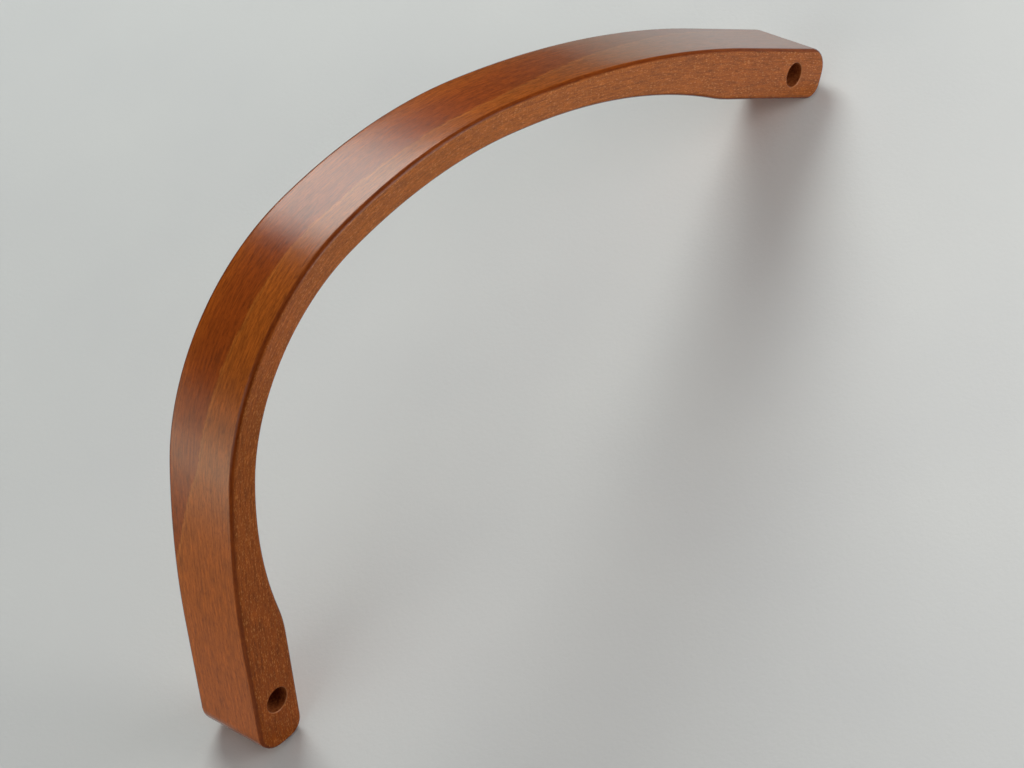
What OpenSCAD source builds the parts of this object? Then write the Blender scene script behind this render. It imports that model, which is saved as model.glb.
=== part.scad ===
// Grab rail: a curved hardwood bow with thickened ends, each end cross-drilled
// for a bolt and fitted with a recessed metal thread insert.
// Frame: X runs through both cross holes, Y is the width of the bow, Z is up.
// The bow stands on the inner corners of its two ends; the origin is the middle
// of the bottom of its bounding box. Units are millimetres.

/* [Rail] */
// Distance between the axes of the two cross holes
hole_spacing = 400; // [300:5:600]
// Width of the bow across its flat side faces
rail_width = 38; // [30:0.5:50]
// Thickness of the hand grip between the swollen ends
grip_thickness = 15; // [12:0.5:20]
// Thickness of the two swollen ends
end_thickness = 25; // [20:0.5:32]

/* [Bend] */
// Straight outer edge of the left leg
left_leg = 61; // [40:1:90]
// Radius of the slow bend above the left leg
bend_a_radius = 430; // [300:5:600]
// Turn of that bend in degrees
bend_a_turn = 10.8; // [5:0.1:15]
// Radius of the tight shoulder bend
bend_b_radius = 109; // [90:1:140]
// Turn of the shoulder bend in degrees
bend_b_turn = 66.2; // [55:0.1:75]
// Radius of the crown bend
bend_c_radius = 266; // [200:2:340]
// Turn of the crown bend in degrees
bend_c_turn = 23.9; // [15:0.1:30]
// Radius of the long right-hand bend
bend_d_radius = 610; // [450:5:800]
// Turn of the right-hand bend in degrees
bend_d_turn = 16.3; // [10:0.1:22]
// Straight outer edge of the right leg
right_leg = 67; // [40:1:90]

/* [Swollen ends] */
// Radius of the left swell where it bulges inwards
left_swell_radius = 65; // [50:5:600]
// Radius of the left hollow that runs into the grip
left_hollow_radius = 170; // [100:5:250]
// Radius of the right swell where it bulges inwards
right_swell_radius = 105; // [80:5:2000]
// Radius of the right hollow that runs into the grip
right_hollow_radius = 370; // [150:10:600]
// Turn of the right-hand bend that is still full grip section, in degrees
right_grip_turn = 1.4; // [1:0.1:8]
// Radius of the slightly domed end faces
end_dome_radius = 65; // [40:5:200]
// Radius of the outer corner of each end
outer_corner_radius = 11; // [3:0.5:12]
// Radius of the inner corner of each end
inner_corner_radius = 8; // [5:0.5:11]

/* [Cross holes] */
// Diameter of the counterbore that opens on the front side face
bore_diameter = 12; // [8:0.5:14]
// Depth of that counterbore, down to the top of the insert
bore_depth = 16; // [10:0.5:20]
// Diameter of the bolt hole that runs from the insert to the back side face
bolt_hole_diameter = 8.5; // [6:0.1:9]
// Distance of each hole from the top of its domed end
hole_to_end = 25.4; // [20:0.1:35]
// Depth of each hole axis below the outer edge
hole_inset = 12.7; // [10:0.1:15]
// Size of the broken edge at the hole mouths
mouth_chamfer = 0.6; // [0.2:0.1:1.5]

/* [Thread insert] */
// Length of the metal insert
insert_length = 14; // [10:0.5:20]
// Diameter of the insert and of the pilot bore it sits in
insert_diameter = 11; // [9:0.5:13]
// Diameter of the plain bore that stands for the thread
insert_bore_diameter = 6.8; // [5:0.1:8]
// Width of the driver slot
slot_width = 1.8; // [1:0.1:3]
// Depth of the driver slot
slot_depth = 2; // [1:0.1:3]

/* [Hidden] */
$fn = 96;

function dir(a) = [cos(a), sin(a)];
function out(a) = [-sin(a), cos(a)];
function unit(v) = v / norm(v);
function step(r, a, turn) = r * (out(a - turn) - out(a));

// Scale the bend so that the hole axes come out at the stated spacing.
turns = [bend_a_turn, bend_b_turn, bend_c_turn, bend_d_turn];
radii = [bend_a_radius, bend_b_radius, bend_c_radius, bend_d_radius];
total_turn = turns[0] + turns[1] + turns[2] + turns[3];
reach = left_leg * dir(0)
      + step(radii[0], 0, turns[0])
      + step(radii[1], -turns[0], turns[1])
      + step(radii[2], -turns[0] - turns[1], turns[2])
      + step(radii[3], -turns[0] - turns[1] - turns[2], turns[3])
      + right_leg * dir(-total_turn);
inset = -hole_to_end * (dir(0) + dir(-total_turn)) - hole_inset * (out(-total_turn) - out(0));
qa = reach * reach;
qb = 2 * reach * inset;
qc = inset * inset - hole_spacing * hole_spacing;
k = (-qb + sqrt(qb * qb - 4 * qa * qc)) / (2 * qa);
span = k * reach + inset;

// Each end is rounded: a domed end face between an outer and an inner corner.
function corner_u(r) = end_dome_radius
    - sqrt(pow(end_dome_radius - r, 2) - pow(end_thickness / 2 - r, 2));
dome = [end_dome_radius, end_thickness / 2];
corner_o = [corner_u(outer_corner_radius), outer_corner_radius];
corner_i = [corner_u(inner_corner_radius), end_thickness - inner_corner_radius];
touch_o = dome + end_dome_radius * unit(corner_o - dome);
touch_i = dome + end_dome_radius * unit(corner_i - dome);

// Headings along the outer edge, from the left end to the right end. The first
// one is set so that both inner corners rest on the same level.
feet = k * reach - corner_i[0] * (dir(0) + dir(-total_turn))
     - corner_i[1] * (out(-total_turn) - out(0));
h0 = -atan2(feet[1], feet[0]);
h1 = h0 - turns[0];
h2 = h1 - turns[1];
h3 = h2 - turns[2];
h4 = h3 - turns[3];

// Joints of the outer edge, with the left hole at the origin for now.
o_start = -hole_to_end * dir(h0) + hole_inset * out(h0);
o1 = o_start + k * left_leg * dir(h0);
o2 = o1 + step(k * radii[0], h0, turns[0]);
o3 = o2 + step(k * radii[1], h1, turns[1]);
o4 = o3 + step(k * radii[2], h2, turns[2]);
o5 = o4 + step(k * radii[3], h3, turns[3]);
o_end = o5 + k * right_leg * dir(h4);
c1 = o1 - k * radii[0] * out(h0);
c2 = o2 - k * radii[1] * out(h1);
c3 = o3 - k * radii[2] * out(h2);
c4 = o4 - k * radii[3] * out(h3);

// Inner edge of the grip, concentric with the outer edge.
i2 = o2 - grip_thickness * out(h1);
i3 = o3 - grip_thickness * out(h2);
i4 = o4 - grip_thickness * out(h3);
h4g = h3 - right_grip_turn;
i4g = c4 + (k * radii[3] - grip_thickness) * out(h4g);

// Each end: u runs from the end into the leg, v from the outer edge inwards.
function place(end, u, v) = end == 0
    ? o_start + u * dir(h0) - v * out(h0)
    : o_end - u * dir(h4) - v * out(h4);
function at(end, p) = place(end, p[0], p[1]);

// Swell: an arc that bulges inwards, then a hollow that runs into the grip.
function swell_station(end, bulge, hollow_centre, hollow) =
    let (base = place(end, 0, end_thickness - bulge),
         along = end == 0 ? dir(h0) : -dir(h4),
         w = base - hollow_centre,
         b = w * along)
    -b - sqrt(b * b - w * w + pow(bulge + hollow, 2));
hl = i2 - left_hollow_radius * out(h1);
ul = swell_station(0, left_swell_radius, hl, left_hollow_radius);
sl = place(0, ul, end_thickness - left_swell_radius);
ml = sl + left_swell_radius * unit(hl - sl);
hr = i4g - right_hollow_radius * out(h4g);
ur = swell_station(1, right_swell_radius, hr, right_hollow_radius);
sr = place(1, ur, end_thickness - right_swell_radius);
mr = sr + right_swell_radius * unit(hr - sr);

// Outline of the bow: [start point, arc centre, arc radius, +1 bulges out, -1 bulges in, 0 straight].
OUTLINE = [
    [at(0, [corner_o[0], 0]), [0, 0], 0, 0],
    [o1, c1, k * radii[0], 1],
    [o2, c2, k * radii[1], 1],
    [o3, c3, k * radii[2], 1],
    [o4, c4, k * radii[3], 1],
    [o5, [0, 0], 0, 0],
    [at(1, [corner_o[0], 0]), at(1, corner_o), outer_corner_radius, 1],
    [at(1, touch_o), at(1, dome), end_dome_radius, 1],
    [at(1, touch_i), at(1, corner_i), inner_corner_radius, 1],
    [at(1, [corner_i[0], end_thickness]), [0, 0], 0, 0],
    [place(1, ur, end_thickness), sr, right_swell_radius, 1],
    [mr, hr, right_hollow_radius, -1],
    [i4g, c4, k * radii[3] - grip_thickness, -1],
    [i4, c3, k * radii[2] - grip_thickness, -1],
    [i3, c2, k * radii[1] - grip_thickness, -1],
    [i2, hl, left_hollow_radius, -1],
    [ml, sl, left_swell_radius, 1],
    [place(0, ul, end_thickness), [0, 0], 0, 0],
    [at(0, [corner_i[0], end_thickness]), at(0, corner_i), inner_corner_radius, 1],
    [at(0, touch_i), at(0, dome), end_dome_radius, 1],
    [at(0, touch_o), at(0, corner_o), outer_corner_radius, 1]
];
n_out = len(OUTLINE);
function p_at(i) = OUTLINE[i % n_out][0];

// Move the bow so that its box stands on Z = 0 with its middle at X = 0.
x_low = at(0, corner_o)[0] - outer_corner_radius;
x_high = at(1, corner_o)[0] + outer_corner_radius;
z_low = min(at(0, corner_i)[1], at(1, corner_i)[1]) - inner_corner_radius;
x_left = -(x_low + x_high) / 2;
z_left = -z_low;
slope = h0 + atan2(span[1], span[0]);
x_right = x_left + hole_spacing * cos(slope);
z_right = z_left + hole_spacing * sin(slope);
half = rail_width / 2;

// Fineness of the curved edges: largest turn and largest length of one flat.
facet_turn = 9;
facet_length = 2.4;

// Points of one outline segment, from its start up to the next one.
function segment(i) =
    let (a = p_at(i), b = p_at(i + 1), c = OUTLINE[i][1], r = OUTLINE[i][2])
    OUTLINE[i][3] == 0 ? [a] :
    let (ta = atan2(a[1] - c[1], a[0] - c[0]),
         tb = atan2(b[1] - c[1], b[0] - c[0]),
         turn = (tb - ta + 540) % 360 - 180,
         n = ceil(max(abs(turn) / facet_turn, abs(turn) * r * PI / 180 / facet_length)))
    [for (j = [0 : n - 1]) c + r * dir(ta + turn * j / n)];

module outline() {
    polygon([for (i = [0 : n_out - 1]) each segment(i)]);
}

// One cross hole: counterbore from the front, pilot bore of the insert, bolt hole
// through to the back.
module cross_hole(x, z) {
    translate([x, 0, z]) rotate([-90, 0, 0]) {
        translate([0, 0, -half - 1]) cylinder(d = bore_diameter, h = bore_depth + 1);
        translate([0, 0, -half]) cylinder(d = insert_diameter, h = bore_depth + insert_length);
        translate([0, 0, -half - 1]) cylinder(d1 = bore_diameter + 2 * mouth_chamfer + 2, d2 = bore_diameter, h = mouth_chamfer + 1);
        translate([0, 0, -half]) cylinder(d = bolt_hole_diameter, h = rail_width + 1);
        translate([0, 0, half - mouth_chamfer]) cylinder(d1 = bolt_hole_diameter, d2 = bolt_hole_diameter + 2 * mouth_chamfer + 2, h = mouth_chamfer + 1);
    }
}

module bow() {
    color([0.52, 0.24, 0.09])
    difference() {
        translate([x_left, 0, z_left]) rotate([90, 0, 0])
            linear_extrude(height = rail_width, center = true) outline();
        cross_hole(x_left, z_left);
        cross_hole(x_right, z_right);
    }
}

// Sleeve with four retaining ribs. It fills the pilot bore, with its slotted end
// level with the bottom of the counterbore.
module insert_at(x, z) {
    r = insert_diameter / 2;
    b = insert_bore_diameter / 2;
    l = insert_length;
    translate([x, bore_depth - half, z]) rotate([-90, 0, 0])
    difference() {
        rotate_extrude() difference() {
            polygon([[b + 0.8, 0], [r - 0.6, 0], [r, 0.6], [r, l], [b + 0.5, l], [b, l - 0.5], [b, 0.8]]);
            for (g = [3.2 : 3.4 : l - 3]) translate([r - 0.5, g]) square([1, 1.4]);
        }
        translate([-r - 1, -slot_width / 2, -1]) cube([2 * r + 2, slot_width, slot_depth + 1]);
    }
}

module insert_left() { color([0.78, 0.62, 0.30]) insert_at(x_left, z_left); }
module insert_right() { color([0.78, 0.62, 0.30]) insert_at(x_right, z_right); }

bow();
insert_left();
insert_right();
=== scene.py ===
import math

import bmesh
import bpy
import numpy as np
from mathutils import Matrix, Vector


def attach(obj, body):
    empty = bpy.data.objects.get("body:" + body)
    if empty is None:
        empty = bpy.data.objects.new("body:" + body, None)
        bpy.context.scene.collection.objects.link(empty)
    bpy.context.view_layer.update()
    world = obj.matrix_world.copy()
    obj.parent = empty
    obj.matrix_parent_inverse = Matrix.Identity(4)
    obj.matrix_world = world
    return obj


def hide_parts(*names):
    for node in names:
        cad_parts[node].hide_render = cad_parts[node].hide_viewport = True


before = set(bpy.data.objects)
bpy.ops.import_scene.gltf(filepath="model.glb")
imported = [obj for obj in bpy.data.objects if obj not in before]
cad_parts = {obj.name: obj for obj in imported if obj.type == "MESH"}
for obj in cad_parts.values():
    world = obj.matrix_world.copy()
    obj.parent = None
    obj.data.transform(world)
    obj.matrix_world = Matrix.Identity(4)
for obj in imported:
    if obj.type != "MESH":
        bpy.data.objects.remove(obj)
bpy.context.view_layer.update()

# ---------------------------------------------------------------- sizes, in millimetres and degrees
MM = 1000.0  # millimetres in a metre
WIDTH = 38.0  # along Y, across the outer face
GRIP, END = 15.0, 25.0  # thickness of the grip and of both ends
EDGE = 2.4  # radius of the long edges
# the outer edge from left to right: a straight leg, four arcs, a straight leg
LEFT_LEG, RIGHT_LEG = 61.0, 67.0
RADII = (430.0, 109.0, 266.0, 610.0)
TURNS = (10.8, 66.2, 23.9, 16.3)
# the two ends, where a pair of values has the left end first
SPACING = 400.0  # between the hole axes
TO_END, INSET = 25.4, 12.7  # hole axis from the end plane, and below the outer edge
DOME, R_OUT, R_IN = 65.0, 11.0, 8.0  # the domed tip and its outer and inner corner
SWELLS, HOLLOWS = (65.0, 105.0), (170.0, 370.0)
GRIP_TURN = 1.4  # the grip keeps its full section for this much of the last arc
# each hole from front to back: plug seat, pilot bore of the insert, bolt hole
BORE, BORE_DEPTH = 6.0, 16.0
PILOT, PILOT_DEPTH = 5.5, 14.0
BOLT = 4.25
MOUTH = 0.6  # radius that softens both mouths

# fineness of the mesh
CORNER_STEPS, DOME_STEPS = 7, 8  # along the outline of a tip
CAP, CAP_STEPS = 12.0, 5  # the part of a leg that blends from its tip into straight stations
STATIONS = 236  # along the bend, between the caps
EDGE_STEPS, FACE_STEPS = 6, 8  # round a long edge and across the broad faces

HALF = WIDTH / 2


def direction(degrees):
    a = math.radians(degrees)
    return np.array([math.cos(a), math.sin(a)])


def outward(degrees):
    """Normal of the outer edge where it has that heading."""
    a = math.radians(degrees)
    return np.array([-math.sin(a), math.cos(a)])


def unit(vector):
    return vector / np.linalg.norm(vector)


def dome_reach(corner):
    """Distance from the end plane to the centre of a corner that touches the dome from inside."""
    return DOME - math.sqrt((DOME - corner) ** 2 - (END / 2 - corner) ** 2)


U_OUT, U_IN = dome_reach(R_OUT), dome_reach(R_IN)


# ---------------------------------------------------------------- the outer edge
def stand_level():
    """Scale of legs and arcs that puts the holes SPACING apart, and the first heading that
    makes both tips stand level."""
    last = -sum(TURNS)
    reach = LEFT_LEG * direction(0) + RIGHT_LEG * direction(last)
    heading_now = 0.0
    for radius, turn in zip(RADII, TURNS):
        reach = reach + radius * (outward(heading_now - turn) - outward(heading_now))
        heading_now -= turn
    along = direction(0) + direction(last)
    up = outward(last) - outward(0)
    inset = -TO_END * along - INSET * up
    a, b, c = reach @ reach, 2 * reach @ inset, inset @ inset - SPACING**2
    scale = (-b + math.sqrt(b * b - 4 * a * c)) / (2 * a)
    feet = scale * reach - U_IN * along - (END - R_IN) * up
    return scale, -math.degrees(math.atan2(feet[1], feet[0]))


SCALE, FIRST = stand_level()
ARCS = [SCALE * radius * math.radians(turn) for radius, turn in zip(RADII, TURNS)]
LENGTHS = [SCALE * LEFT_LEG] + ARCS + [SCALE * RIGHT_LEG]
KNOTS = np.concatenate([[0.0], np.cumsum(LENGTHS)])
TOTAL = KNOTS[-1]
HEADINGS = [FIRST, FIRST]
for turn in TURNS:
    HEADINGS.append(HEADINGS[-1] - turn)
HEADINGS.append(HEADINGS[-1])

# where each leg or arc starts; the first hole's axis is the origin until SHIFT is added
STARTS = [-TO_END * direction(FIRST) + INSET * outward(FIRST)]
for i, length in enumerate(LENGTHS):
    if HEADINGS[i] == HEADINGS[i + 1]:
        STARTS.append(STARTS[-1] + length * direction(HEADINGS[i]))
    else:
        radius = length / math.radians(HEADINGS[i] - HEADINGS[i + 1])
        STARTS.append(STARTS[-1] + radius * (outward(HEADINGS[i + 1]) - outward(HEADINGS[i])))


def heading(s):
    return float(np.interp(s, KNOTS, HEADINGS))


def outer(s):
    """Point of the outer edge at arc length s."""
    i = min(max(int(np.searchsorted(KNOTS, s, "right")) - 1, 0), len(LENGTHS) - 1)
    first, last = HEADINGS[i], HEADINGS[i + 1]
    if first == last:
        return STARTS[i] + (s - KNOTS[i]) * direction(first)
    radius = LENGTHS[i] / math.radians(first - last)
    here = first - math.degrees((s - KNOTS[i]) / radius)
    return STARTS[i] + radius * (outward(here) - outward(first))


# for each end: its end of the outer edge, the way into the rail, and the way out of the outer face
TIPS = (STARTS[0], STARTS[-1])
INTO = (direction(FIRST), -direction(HEADINGS[-1]))
OUT = (outward(FIRST), outward(HEADINGS[-1]))


def place(end, u, v):
    """Point u into the rail from the end plane and v below the outer edge."""
    return TIPS[end] + u * INTO[end] - v * OUT[end]


# Added to every point: the tips stand on Z = 0 and the box is centred in X.
LEFTMOST = place(0, U_OUT, R_OUT)[0] - R_OUT
RIGHTMOST = place(1, U_OUT, R_OUT)[0] + R_OUT
SHIFT = np.array([-(LEFTMOST + RIGHTMOST) / 2, R_IN - place(0, U_IN, END - R_IN)[1]])
HOLES = [place(end, TO_END, INSET) + SHIFT for end in (0, 1)]


# ---------------------------------------------------------------- the swell of each end
GRIP_ENDS = (KNOTS[2], KNOTS[4] + SCALE * RADII[3] * math.radians(GRIP_TURN))


def swell(end):
    """How far up its leg the swell starts, and the centres of its bulge and of its hollow."""
    bulge, hollow = SWELLS[end], HOLLOWS[end]
    normal = outward(heading(GRIP_ENDS[end]))
    hollow_centre = outer(GRIP_ENDS[end]) - GRIP * normal - hollow * normal
    gap = place(end, 0, END - bulge) - hollow_centre
    b = gap @ INTO[end]
    start = -b - math.sqrt(b * b - gap @ gap + (bulge + hollow) ** 2)
    return start, place(end, start, END - bulge), hollow_centre


SWELL_SHAPES = (swell(0), swell(1))


def thickness(s):
    """Section thickness at s, and the normal of the inner edge there."""
    point, normal = outer(s), outward(heading(s))
    if GRIP_ENDS[0] <= s <= GRIP_ENDS[1]:
        return GRIP, -normal
    end = 0 if s < GRIP_ENDS[0] else 1
    start, bulge_centre, hollow_centre = SWELL_SHAPES[end]
    if min(s, TOTAL - s) <= start:
        return END, -normal
    bulge, hollow = SWELLS[end], HOLLOWS[end]
    meet = bulge_centre + (hollow_centre - bulge_centre) * bulge / (bulge + hollow)
    foot = place(end, 0, END)
    slack = 0.5  # lets a depth through that rounding has put just outside the range
    found = (GRIP, -normal)
    for centre, radius, is_bulge in ((bulge_centre, bulge, True), (hollow_centre, hollow, False)):
        arm = point - centre
        middle = arm @ normal
        square = middle * middle - arm @ arm + radius * radius
        if square < 0:
            continue
        for depth in (middle - math.sqrt(square), middle + math.sqrt(square)):
            if not GRIP - slack < depth < END + slack:
                continue
            inner = point - depth * normal
            on_bulge = np.linalg.norm(inner - foot) < np.linalg.norm(meet - foot)
            if on_bulge == is_bulge:
                found = (depth, unit(inner - centre if is_bulge else centre - inner))
    return found


# ---------------------------------------------------------------- meshes and objects
def closed_mesh(name, verts, faces, merge=0.0):
    """A mesh with its normals outward; points closer than merge become one."""
    mesh = bpy.data.meshes.new(name)
    mesh.from_pydata(verts, [], faces)
    bm = bmesh.new()
    bm.from_mesh(mesh)
    if merge:
        bmesh.ops.remove_doubles(bm, verts=bm.verts, dist=merge)
    bmesh.ops.recalc_face_normals(bm, faces=bm.faces)
    bm.to_mesh(mesh)
    bm.free()
    return mesh


def add_object(name, data):
    obj = bpy.data.objects.new(name, data)
    bpy.context.scene.collection.objects.link(obj)
    return obj


# ---------------------------------------------------------------- the bow as a grid of points
def tip_outline():
    """Points round one tip from the outer to the inner edge: (u, v, normal in u, normal in v)."""
    out_corner, in_corner = np.array([U_OUT, R_OUT]), np.array([U_IN, END - R_IN])
    dome = np.array([DOME, END / 2])
    to_out, to_in = (math.atan2(v, u) % (2 * math.pi) for u, v in (out_corner - dome, in_corner - dome))

    def arc_point(centre, radius, a):
        u, v = math.cos(a), math.sin(a)
        return centre[0] + radius * u, centre[1] + radius * v, u, v

    arcs = (
        (out_corner, R_OUT, 1.5 * math.pi, to_out, CORNER_STEPS),
        (dome, DOME, to_out, to_in, DOME_STEPS),
        (in_corner, R_IN, to_in, 0.5 * math.pi, CORNER_STEPS),
    )
    rows = []
    for centre, radius, first, last, steps in arcs:
        rows += [arc_point(centre, radius, first + (last - first) * j / steps) for j in range(steps)]
    return rows + [arc_point(in_corner, R_IN, 0.5 * math.pi)]


ROWS = tip_outline()
# the same rows on a straight station: their share of the thickness
SHARES = [min(max(v / END, 0.0), 1.0) for _, v, _, _ in ROWS]
LAST = len(ROWS) - 1


def cap_stations(end):
    """Stations from the tip's outline to the first straight station, with their normals."""
    stations = []
    for m in range(CAP_STEPS):
        share = m / CAP_STEPS
        points, normals = [], []
        for k, (u, v, normal_u, normal_v) in enumerate(ROWS):
            points.append(place(end, u + (CAP - u) * share, v * (1 - share) + SHARES[k] * END * share))
            if m > 0:
                normal_u, normal_v = 0, (k == LAST) - (k == 0)
            normals.append(normal_u * INTO[end] - normal_v * OUT[end])
        stations.append((points, normals))
    return stations


def straight_station(s):
    """One row of points through the thickness at s; only its two end points have a normal."""
    point, normal = outer(s), outward(heading(s))
    thick, inner_normal = thickness(s)
    points = [point - normal * thick * share for share in SHARES]
    return points, [normal] + [normal * 0] * (LAST - 1) + [inner_normal]


def bow_grid():
    """Two arrays [station, row, xz]: the points, and the normals of those on the outline."""
    span = TOTAL - 2 * CAP
    stations = cap_stations(0)
    stations += [straight_station(CAP + span * i / STATIONS) for i in range(STATIONS + 1)]
    stations += reversed(cap_stations(1))
    return (np.array([part[i] for part in stations]) for i in (0, 1))


def side_face(points, normals, outline):
    """The grid of a flat side face: its outline is drawn in by the edge radius."""
    side = points.copy()
    for cell in outline:
        side[cell] = points[cell] - EDGE * normals[cell]
    outer_line, inner_line = side[1:-1, :1], side[1:-1, -1:]
    shares = np.array(SHARES)[None, 1:-1, None]
    side[1:-1, 1:-1] = outer_line + (inner_line - outer_line) * shares
    for m in range(1, CAP_STEPS):
        share = m / CAP_STEPS
        for tip, straight, station in ((0, CAP_STEPS, m), (-1, -1 - CAP_STEPS, -1 - m)):
            side[station, 1:-1] = side[tip, 1:-1] * (1 - share) + side[straight, 1:-1] * share
    return side


def edge_profile():
    """(drawn in by, Y) of each ring of points, from behind the front side face to the back one."""
    turns = [math.pi / 2 * i / EDGE_STEPS for i in range(EDGE_STEPS)]
    back = [(EDGE * (1 - math.cos(a)), HALF - EDGE + EDGE * math.sin(a)) for a in turns]
    front = [(drawn, -y) for drawn, y in reversed(back)]
    flat = [(0.0, (HALF - EDGE) * (2 * i / FACE_STEPS - 1)) for i in range(1, FACE_STEPS)]
    return front + flat + back


def bow_mesh(name):
    points, normals = bow_grid()
    count = len(points)
    outline = [(j, 0) for j in range(count)]
    outline += [(count - 1, k) for k in range(1, LAST + 1)]
    outline += [(j, LAST) for j in range(count - 2, -1, -1)]
    outline += [(0, k) for k in range(LAST - 1, 0, -1)]
    side = side_face(points, normals, outline)
    verts, faces = [], []

    def add(point, y):
        verts.append(((point[0] + SHIFT[0]) / MM, y / MM, (point[1] + SHIFT[1]) / MM))
        return len(verts) - 1

    side_rings = []
    for sign in (-1, 1):
        index = {(j, k): add(side[j, k], sign * HALF) for j in range(count) for k in range(LAST + 1)}
        side_rings.append([index[cell] for cell in outline])
        for j in range(count - 1):
            for k in range(LAST):
                quad = [index[j, k], index[j + 1, k], index[j + 1, k + 1], index[j, k + 1]]
                faces.append(quad[::-sign])
    rings = side_rings[:1]
    for drawn, y in edge_profile():
        rings.append([add(points[cell] - drawn * normals[cell], y) for cell in outline])
    rings.append(side_rings[1])
    for ring, following in zip(rings, rings[1:]):
        for i in range(len(outline)):
            j = (i + 1) % len(outline)
            faces.append([ring[i], following[i], following[j], ring[j]])
    return closed_mesh(name, verts, faces)


# ---------------------------------------------------------------- the holes
def lathe(name, profile, x, z, segments=72):
    """Turned solid about the hole axis through x, z: profile is a closed list of (radius, Y)."""
    verts, faces = [], []
    n = len(profile)
    for i in range(segments):
        a = 2 * math.pi * i / segments
        for radius, y in profile:
            verts.append(((x + radius * math.cos(a)) / MM, y / MM, (z + radius * math.sin(a)) / MM))
    for i in range(segments):
        i2 = (i + 1) % segments
        for j in range(n):
            j2 = (j + 1) % n
            if profile[j][0] > 0 or profile[j2][0] > 0:
                faces.append([i * n + j, i * n + j2, i2 * n + j2, i2 * n + j])
    return add_object(name, closed_mesh(name, verts, faces, merge=1e-7))


def drill_profile():
    """Half section of the cutter for one hole, with its softened mouths, from front to back."""
    past, lift, steps = 2.0, 0.02, 5
    seat, shoulder = BORE_DEPTH - HALF, BORE_DEPTH + PILOT_DEPTH - HALF
    wide, narrow = BORE + MOUTH, BOLT + MOUTH
    profile = [(0.0, -HALF - past), (wide + past, -HALF - past), (wide + past, -HALF - 0.5)]
    profile.append((wide + lift, -HALF - lift))
    for i in range(1, steps + 1):
        a = math.pi / 2 * i / steps
        profile.append((wide - MOUTH * math.sin(a), MOUTH - HALF - MOUTH * math.cos(a)))
    profile += [(BORE, seat), (PILOT, seat), (PILOT, shoulder), (BOLT, shoulder)]
    for i in range(steps):
        a = math.pi / 2 * i / steps
        profile.append((narrow - MOUTH * math.cos(a), HALF - MOUTH + MOUTH * math.sin(a)))
    profile += [(narrow + lift, HALF + lift), (narrow + 1.0, HALF + past), (0.0, HALF + past)]
    return profile


def apply_modifiers(obj):
    graph = bpy.context.evaluated_depsgraph_get()
    plain = obj.data
    applied = bpy.data.meshes.new_from_object(obj.evaluated_get(graph))
    obj.modifiers.clear()
    obj.data = applied
    bpy.data.meshes.remove(plain)


def store_grain(mesh):
    """Stores what the wood is drawn from. Attribute grain: millimetres along the bend, below the
    outer edge, and across. Attribute rim: 0 round the hole mouths and 1 elsewhere."""
    places = np.empty(len(mesh.vertices) * 3)
    mesh.vertices.foreach_get("co", places)
    places = places.reshape(-1, 3) * MM
    points = places[:, [0, 2]] - SHIFT
    step, batch, mouth_zone = 0.5, 2000, 9.0
    lengths = np.arange(0, TOTAL + step, step)
    lengths[-1] = TOTAL
    edge = np.array([outer(s) for s in lengths])
    turned = np.radians([heading(s) for s in lengths])
    tangents = np.stack([np.cos(turned), np.sin(turned)], 1)
    normals = np.stack([-np.sin(turned), np.cos(turned)], 1)
    nearest = np.empty(len(points), int)
    for i in range(0, len(points), batch):
        square = ((points[i : i + batch, None, :] - edge[None]) ** 2).sum(2)
        nearest[i : i + batch] = square.argmin(1)
    offset = points - edge[nearest]
    along = lengths[nearest] + (offset * tangents[nearest]).sum(1)
    depth = -(offset * normals[nearest]).sum(1)
    grain = mesh.attributes.new("grain", "FLOAT_VECTOR", "POINT")
    where = np.stack([along, depth, places[:, 1]], 1).astype(np.float32)
    grain.data.foreach_set("vector", where.ravel())
    to_hole = np.min([np.hypot(places[:, 0] - x, places[:, 2] - z) for x, z in HOLES], axis=0)
    rim = mesh.attributes.new("rim", "FLOAT", "POINT")
    rim.data.foreach_set("value", (to_hole > mouth_zone).astype(np.float32))


def make_bow():
    bow = add_object("rail_bow", bow_mesh("rail_bow"))
    drills = [lathe(f"drill_{i}", drill_profile(), x, z) for i, (x, z) in enumerate(HOLES)]
    for drill in drills:
        cut = bow.modifiers.new(drill.name, "BOOLEAN")
        cut.operation, cut.solver, cut.object = "DIFFERENCE", "EXACT", drill
    bpy.context.view_layer.update()
    apply_modifiers(bow)
    for drill in drills:
        bpy.data.objects.remove(drill)
    bow.data.shade_smooth()
    bow.data.set_sharp_from_angle(angle=math.radians(32))
    store_grain(bow.data)
    weighted = bow.modifiers.new("normals", "WEIGHTED_NORMAL")
    weighted.keep_sharp = True
    weighted.weight = 100
    return bow


# ---------------------------------------------------------------- writing materials
class Value:
    """An output in a node tree. Arithmetic on it adds the nodes that work it out."""

    def __init__(self, nodes, socket):
        self.nodes, self.socket = nodes, socket

    def __add__(self, other):
        return self.nodes.math("ADD", self, other)

    def __sub__(self, other):
        return self.nodes.math("SUBTRACT", self, other)

    def __rsub__(self, other):
        return self.nodes.math("SUBTRACT", other, self)

    def __mul__(self, other):
        return self.nodes.math("MULTIPLY", self, other)

    def __truediv__(self, other):
        return self.nodes.math("DIVIDE", self, other)

    def at_least(self, other):
        return self.nodes.math("MAXIMUM", self, other)

    def size(self):
        return self.nodes.math("ABSOLUTE", self, 0.0)

    def swing(self, amount):
        """A noise, which lies about 0.5, turned into a swing about zero."""
        return (self - 0.5) * amount

    def step(self, low, high):
        """Smooth step from 0 at low to 1 at high; it falls when low is the larger."""
        node = self.nodes.node("MapRange")
        node.interpolation_type = "SMOOTHSTEP"
        self.nodes.set(node.inputs["Value"], self)
        node.inputs["From Min"].default_value = low
        node.inputs["From Max"].default_value = high
        return Value(self.nodes, node.outputs[0])


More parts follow.
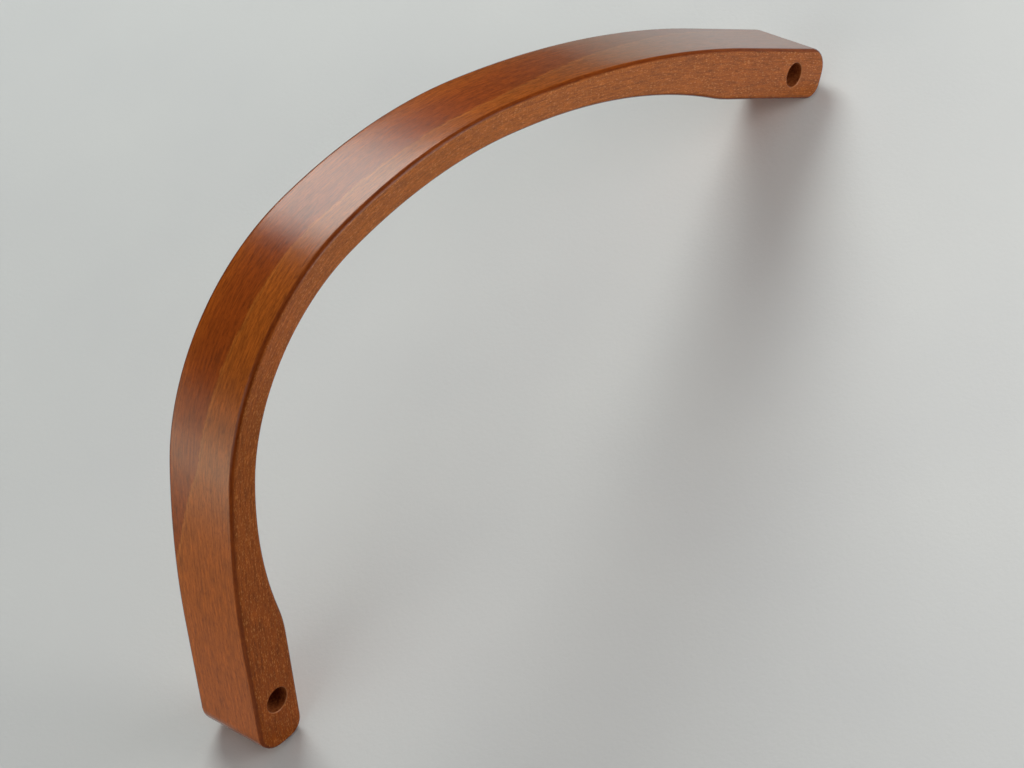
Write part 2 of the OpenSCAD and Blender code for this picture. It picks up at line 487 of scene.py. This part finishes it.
class Nodes:
    """A material with one principled shader, and short ways to write its node tree."""

    def __init__(self, name):
        self.mat = bpy.data.materials.new(name)
        self.mat.use_nodes = True
        self.tree = self.mat.node_tree
        self.tree.nodes.clear()
        self.bsdf = self.node("BsdfPrincipled")
        self.tree.links.new(self.bsdf.outputs[0], self.node("OutputMaterial").inputs["Surface"])

    def node(self, kind):
        return self.tree.nodes.new("ShaderNode" + kind)

    def get(self, kind, output=0):
        """The output of a new node that needs no settings."""
        return Value(self, self.node(kind).outputs[output])

    def set(self, socket, value):
        if isinstance(value, Value):
            self.tree.links.new(value.socket, socket)
        else:
            socket.default_value = value

    def shader(self, settings):
        for name, value in settings.items():
            self.set(self.bsdf.inputs[name], value)
        return self.mat

    def math(self, operation, a, b):
        node = self.node("Math")
        node.operation = operation
        self.set(node.inputs[0], a)
        self.set(node.inputs[1], b)
        return Value(self, node.outputs[0])

    def attribute(self, name, output):
        node = self.node("Attribute")
        node.attribute_name = name
        return Value(self, node.outputs[output])

    def split(self, vector, kind="XYZ"):
        """The three parts of a vector, or of a colour."""
        node = self.node("Separate" + kind)
        self.set(node.inputs[0], vector)
        return [Value(self, socket) for socket in node.outputs]

    def join(self, x, y, z):
        node = self.node("CombineXYZ")
        for socket, value in zip(node.inputs, (x, y, z)):
            self.set(socket, value)
        return Value(self, node.outputs[0])

    def length(self, vector):
        node = self.node("VectorMath")
        node.operation = "LENGTH"
        self.set(node.inputs[0], vector)
        return Value(self, node.outputs["Value"])

    def noise(self, vector, scale, detail, roughness):
        node = self.node("TexNoise")
        self.set(node.inputs["Vector"], vector)
        node.inputs["Scale"].default_value = scale
        node.inputs["Detail"].default_value = detail
        node.inputs["Roughness"].default_value = roughness
        return Value(self, node.outputs["Fac"])

    def ramp(self, value, *stops):
        """Colour for a value, from stops of (position, colour)."""
        node = self.node("ValToRGB")
        elements = node.color_ramp.elements
        elements.remove(elements[0])
        elements[0].position = stops[0][0]
        elements[0].color = opaque(stops[0][1])
        for position, colour in stops[1:]:
            elements.new(position).color = opaque(colour)
        self.set(node.inputs[0], value)
        return Value(self, node.outputs[0])

    def mix(self, share, a, b, blend="MIX"):
        node = self.node("Mix")
        node.data_type, node.blend_type = "RGBA", blend
        self.set(node.inputs[0], share)
        for socket, value in ((node.inputs[6], a), (node.inputs[7], b)):
            self.set(socket, value if isinstance(value, Value) else opaque(value))
        return Value(self, node.outputs[2])

    def times(self, a, b):
        """One colour multiplied by another."""
        return self.mix(1.0, a, b, "MULTIPLY")

    def bump(self, height, strength, distance):
        node = self.node("Bump")
        node.inputs["Strength"].default_value = strength
        node.inputs["Distance"].default_value = distance
        self.set(node.inputs["Height"], height)
        return Value(self, node.outputs[0])


def opaque(colour):
    return (*colour, 1.0)


def srgb(*channels):
    """Linear colour from three 8-bit sRGB numbers."""
    return tuple(v / 255 / 12.92 if v <= 10 else ((v / 255 + 0.055) / 1.055) ** 2.4 for v in channels)


# ---------------------------------------------------------------- wood
# colours across the ring boundary, from the front of it to the back
RING_TONES = (
    (0.0, srgb(160, 80, 22)),
    (0.34, srgb(162, 82, 23)),
    (0.455, srgb(161, 82, 23)),
    (0.488, srgb(172, 93, 31)),
    (0.512, srgb(146, 66, 15)),
    (0.60, srgb(145, 64, 14)),
    (0.82, srgb(150, 68, 16)),
    (1.0, srgb(160, 78, 20)),
)
# factors on the side faces' colour from the left tip to the right one: painted shade on the left leg
# and painted light towards the crown
SIDE_LIGHT_AND_SHADE = (
    (0.0, (0.78, 0.75, 0.80)),
    (0.07, (0.79, 0.79, 0.91)),
    (0.17, (0.87, 0.94, 1.42)),
    (0.28, (0.87, 1.00, 1.71)),
    (0.34, (1.03, 1.12, 1.48)),
    (0.45, (1.10, 1.29, 1.34)),
    (0.60, (1.07, 1.23, 1.19)),
    (0.75, (1.02, 1.17, 1.12)),
    (0.90, (0.92, 1.00, 0.94)),
)


class Wood(Nodes):
    """Stained beech in the rail's own coordinates, so that the grain follows the bend."""

    def __init__(self):
        super().__init__("stained_beech")
        self.along, self.depth, self.across = self.split(self.attribute("grain", "Vector"))
        self.streak = self.grain(0.030, 0.60, 0.60, 4.0, 0.65)
        self.hair = self.grain(0.11, 0.95, 0.95, 3.0, 0.65)
        # 0 on the broad faces and the tips, 1 on the side faces, in between on rounded edges
        self.sideways = self.split(self.get("NewGeometry", "Normal"))[1].size()
        self.side = self.sideways.step(0.72, 0.97)

    def grain(self, along, across, depth, detail, roughness):
        """Noise with that many features per millimetre each way."""
        point = self.join(self.along * along, self.across * across, self.depth * depth)
        return self.noise(point, 1.0, detail, roughness)

    def growth_rings(self):
        """One ring boundary runs the length of the outer face, arched towards the front."""
        wander = self.grain(0.011, 0.01, 0.02, 2.0, 0.5)
        fine = self.grain(0.09, 0.05, 0.05, 3.0, 0.6)
        feather = self.grain(0.35, 0.35, 0.35, 3.0, 0.65)
        ripple = wander.swing(4.5) + fine.swing(3.4) + feather.swing(2.2)
        peak, frontmost = 352.0, -9.5  # where the boundary lies nearest the front, and its Y there
        steep, level = 203.0, 25.0  # it steepens that far left of the peak, and is level right of it
        to_peak = peak - self.along
        left = to_peak.at_least(0.0) * 0.047 + (to_peak - steep).at_least(0.0) * 0.28
        right = (to_peak * -1.0 - level).at_least(0.0) * 0.12
        boundary = left + right + frontmost
        past_boundary = self.across - boundary - ripple + self.depth * -0.35
        span = 44.0  # millimetres that the ramp covers
        return self.ramp(past_boundary / span + 0.5, *RING_TONES)

    def streaks(self, base):
        cloud = self.grain(0.012, 0.07, 0.07, 2.0, 0.5)
        tone = self.streak.swing(0.50) + self.hair.swing(1.7) + cloud.swing(0.35) + 1.0
        return self.times(base, self.join(tone, tone, tone))

    def side_marks(self, base):
        """Painted light and shade along the side faces, short pale ray flecks in two sizes, and dark
        pores.
        """
        # painted shade on the left leg and painted light towards the crown, on the side faces only
        tint = self.ramp(self.along / TOTAL, *SIDE_LIGHT_AND_SHADE)
        base = self.times(base, self.mix(self.side, (1.0, 1.0, 1.0), tint))
        for along, depth, size, share, gain in (
            (0.34, 1.05, 0.40, 0.24, 0.38),
            (0.70, 1.9, 0.46, 0.28, 0.34),
        ):
            cells = self.node("TexVoronoi")
            point = self.join(self.along * along, self.depth * depth, self.across * 0.5)
            self.set(cells.inputs["Vector"], point)
            cells.inputs["Scale"].default_value = 1.0
            lot = self.split(Value(self, cells.outputs["Color"]), "Color")[0]
            fleck = Value(self, cells.outputs["Distance"]).step(size, size * 0.4)
            fleck = fleck * lot.step(share, share + 0.45) * self.side * gain
            base = self.mix(fleck, base, srgb(226, 148, 76))
        pore = self.grain(0.7, 0.7, 1.6, 3.0, 0.7).step(0.50, 0.68)
        return self.mix(pore * self.side * 0.42, base, srgb(92, 38, 12))

    def broad_marks(self, base):
        """On the broad faces the rays are cut across and show as fine dark ticks."""
        tick = self.grain(0.42, 1.5, 1.5, 2.0, 0.6).step(0.50, 0.66)
        return self.mix(tick * (1.0 - self.side) * 0.30, base, srgb(84, 30, 6))


def wood_material():
    wood = Wood()
    base = wood.growth_rings()
    base = wood.streaks(base)
    base = wood.side_marks(base)
    base = wood.broad_marks(base)

    # painted shade darkens the rounded long edges, and the rounded hole mouths are drawn paler
    rounded = wood.sideways.step(0.06, 0.35) * wood.sideways.step(0.97, 0.80)
    away_from_holes = wood.attribute("rim", "Fac")
    rim = rounded * away_from_holes
    # painted shade on the rounded long edges
    base = wood.mix(rim * 0.55, base, srgb(84, 22, 8))
    base = wood.mix(rounded * (1.0 - away_from_holes) * 0.5, base, srgb(206, 140, 92))

    # painted shade darkens the colour where the surface is seen at a shallow angle, and the lacquer
    # shines more there
    facing = wood.get("LayerWeight", "Facing")
    shallow = facing.step(0.56, 0.79)
    # painted shade at shallow viewing angles
    base = wood.mix(shallow * 0.52, base, srgb(62, 30, 8))

    # the side face of the left leg and the long edges shine less
    left_leg = 1.0 - (wood.along / TOTAL).step(0.25, 0.38)
    dull = (wood.side * left_leg * 0.6).at_least(rim * 0.4)
    lump = wood.grain(0.25, 0.5, 0.5, 2.0, 0.5)
    return wood.shader({
        "Base Color": base,
        "Roughness": wood.streak.swing(0.12) + 0.42,
        "Specular IOR Level": facing.step(0.69, 0.76) * 0.28,
        "Normal": wood.bump(wood.streak * 0.5 + wood.hair * 0.5, 0.30, 0.0003),
        "Coat Weight": (shallow * 0.45 + 0.55) * (1.0 - dull),
        "Coat Roughness": 0.27,
        "Coat IOR": 1.6,
        "Coat Normal": wood.bump(lump + wood.hair * 0.35, 0.14, 0.0004),
    })


# ---------------------------------------------------------------- other materials
def turned_marks(nodes, round_axis, along_axis):
    """Fine marks that a tool leaves as it turns about the hole axis."""
    x, y, z = nodes.split(nodes.get("TexCoord", "Object"))
    return nodes.noise(nodes.join(x * round_axis, y * along_axis, z * round_axis), 1.0, 3.0, 0.6)


def bore_material():
    bore = Nodes("bare_bore_wall")
    grit = bore.noise(bore.get("TexCoord", "Object"), 900.0, 3.0, 0.6)
    fibres = turned_marks(bore, 160, 1500) * 0.4 + grit * 0.6
    tones = ((0.32, srgb(98, 44, 18)), (0.52, srgb(150, 78, 34)), (0.72, srgb(190, 116, 60)))
    return bore.shader({
        "Base Color": bore.ramp(fibres, *tones),
        "Roughness": 0.8,
        "Specular IOR Level": 0.2,
        "Normal": bore.bump(fibres, 0.5, 0.0003),
    })


def brass_material():
    brass = Nodes("brushed_brass")
    tarnish = brass.noise(brass.get("TexCoord", "Object"), 260.0, 3.0, 0.6)
    tones = ((0.30, (0.30, 0.20, 0.08)), (0.50, (0.55, 0.40, 0.18)), (0.75, (0.72, 0.55, 0.28)))
    return brass.shader({
        "Base Color": brass.ramp(tarnish, *tones),
        "Metallic": 1.0,
        "Roughness": tarnish * 0.25 + 0.24,
        "Normal": brass.bump(turned_marks(brass, 90, 4200), 0.25, 0.00005),
    })


def paper_material():
    """Pale paper. In reflections and in bounced light it counts as warm away from the rail, and
    as dark further out."""
    paper = Nodes("pale_paper")
    point = paper.get("TexCoord", "Object")
    mottle = paper.noise(point, 9.0, 3.0, 0.5)
    pale = paper.ramp(mottle, (0.3, srgb(215, 215, 216)), (0.7, srgb(219, 219, 219)))
    unseen = 1.0 - paper.get("LightPath", "Is Camera Ray")
    radius, x = paper.length(point), paper.split(point)[0]
    warm = radius.step(0.36, 0.56).at_least(x.step(-0.22, -0.34)) * unseen
    pale = paper.mix(warm, pale, paper.times(pale, (1.0, 0.92, 0.74)))
    far = radius.step(0.46, 1.0) * unseen * 0.95
    grit = paper.noise(point, 420.0, 3.0, 0.6)
    return paper.shader({
        "Base Color": paper.mix(far, pale, (0.01, 0.01, 0.01)),
        "Roughness": 0.9,
        "Specular IOR Level": 0.1,
        "Normal": paper.bump(grit, 0.18, 0.0006),
    })


# ---------------------------------------------------------------- pieces
def paint(mesh):
    """Stained wood, with bare wood on the walls of the holes between their softened mouths."""
    mesh.materials.clear()
    for material in (wood_material(), bore_material()):
        mesh.materials.append(material)
    tolerance = 0.1
    for face in mesh.polygons:
        centre = face.center * MM
        to_hole = min(math.hypot(centre.x - x, centre.z - z) for x, z in HOLES)
        if to_hole < BORE + tolerance and abs(centre.y) < HALF - MOUTH + tolerance / 5:
            face.material_index = 1


bow = make_bow()
paint(bow.data)
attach(bow, "root")
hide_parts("bow")

brass = brass_material()
for name in ("insert_left", "insert_right"):
    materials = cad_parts[name].data.materials
    materials.clear()
    materials.append(brass)


# ---------------------------------------------------------------- floor
FLOOR = 6.0  # metres from the middle to each side
floor_mesh = bpy.data.meshes.new("floor")
corners = [(-FLOOR, -FLOOR, 0), (FLOOR, -FLOOR, 0), (FLOOR, FLOOR, 0), (-FLOOR, FLOOR, 0)]
floor_mesh.from_pydata(corners, [], [(0, 1, 2, 3)])
floor = add_object("floor", floor_mesh)
floor.data.materials.append(paper_material())


# ---------------------------------------------------------------- light
def softbox(name, aim, azimuth, elevation, distance, size, power, tint, mirrored=True):
    """An area light seen from aim at that azimuth (0 is +X, 90 is +Y) and elevation. It shows
    in reflections if mirrored."""
    a, e = math.radians(azimuth), math.radians(elevation)
    away = Vector((math.cos(a) * math.cos(e), math.sin(a) * math.cos(e), math.sin(e)))
    data = bpy.data.lights.new(name, "AREA")
    data.shape = "RECTANGLE"
    data.size, data.size_y = size
    data.energy, data.color = power, tint
    light = add_object(name, data)
    light.location = Vector(aim) + away * distance
    light.rotation_mode = "QUATERNION"
    light.rotation_quaternion = (-away).to_track_quat("-Z", "Y")
    light.visible_camera, light.visible_glossy = False, mirrored
    return light


# the key from behind on the right, with a brighter core
softbox("key", (0, 0, 0.1), 47, 39.3, 2.0, (1.1, 1.04), 17.0, (0.94, 1.0, 0.965))
softbox("key_core", (0, 0, 0.1), 47, 36.3, 2.0, (1.0, 0.76), 11.0, (0.94, 1.0, 0.955))
# broad lights from above, from the front and from the left
softbox("fill", (0, 0, 0), 0, 90, 2.0, (2.2, 2.2), 7.0, (1.0, 0.99, 0.98), mirrored=False)
softbox("front", (0.12, 0, 0.1), -66, 16, 0.85, (0.8, 0.5), 4.5, (1.0, 0.98, 0.95))
softbox("side", (-0.1, 0, 0.1), 180, 30, 2.0, (1.5, 1.2), 9.5, (1.0, 0.99, 0.93))
# low strips behind the left leg, which reach only the bow
strips = (
    softbox("left_low", (-0.1, 0, 0.13), 143, 0, 0.75, (0.7, 0.26), 0.95, (0.96, 1.0, 0.8)),
    softbox("left_high", (-0.1, 0, 0.24), 143, 0, 0.78, (0.8, 0.48), 1.38, (0.97, 1.0, 0.8)),
)
only_bow = bpy.data.collections.new("only_bow")
only_bow.objects.link(bow)
for strip in strips:
    strip.light_linking.receiver_collection = only_bow


def pale_world(lighting, backdrop):
    """A world that shows as bright as backdrop and lights the scene as little as lighting."""
    world = bpy.data.worlds.new("studio")
    world.use_nodes = True
    nodes, links = world.node_tree.nodes, world.node_tree.links
    brightness = nodes.new("ShaderNodeMapRange")
    brightness.inputs["To Min"].default_value = lighting
    brightness.inputs["To Max"].default_value = backdrop
    is_camera = nodes.new("ShaderNodeLightPath").outputs["Is Camera Ray"]
    links.new(is_camera, brightness.inputs["Value"])
    links.new(brightness.outputs[0], nodes["Background"].inputs["Strength"])
    nodes["Background"].inputs["Color"].default_value = (0.98, 0.99, 1.0, 1.0)
    return world


bpy.context.scene.world = pale_world(0.04, 0.55)


# ---------------------------------------------------------------- camera
def make_camera(location, look, roll, focal):
    """A camera at location that looks along look, turned clockwise by roll degrees."""
    data = bpy.data.cameras.new("camera")
    data.sensor_width, data.lens = 36.0, focal
    data.clip_start, data.clip_end = 0.05, 30.0
    look = Vector(look).normalized()
    level = look.cross(Vector((0, 0, 1))).normalized()
    upright = level.cross(look).normalized()
    up = upright * math.cos(math.radians(roll)) + level * math.sin(math.radians(roll))
    right = look.cross(up).normalized()
    camera = add_object("camera", data)
    camera.location = location
    camera.rotation_mode = "QUATERNION"
    camera.rotation_quaternion = Matrix((right, up, -look)).transposed().to_quaternion()
    return camera


bpy.context.scene.camera = make_camera(
    (-0.57014, -0.83448, 1.11181), look=(0.37568, 0.56120, -0.73751), roll=24.22, focal=113.7
)
bpy.context.scene.view_settings.view_transform = "Standard"
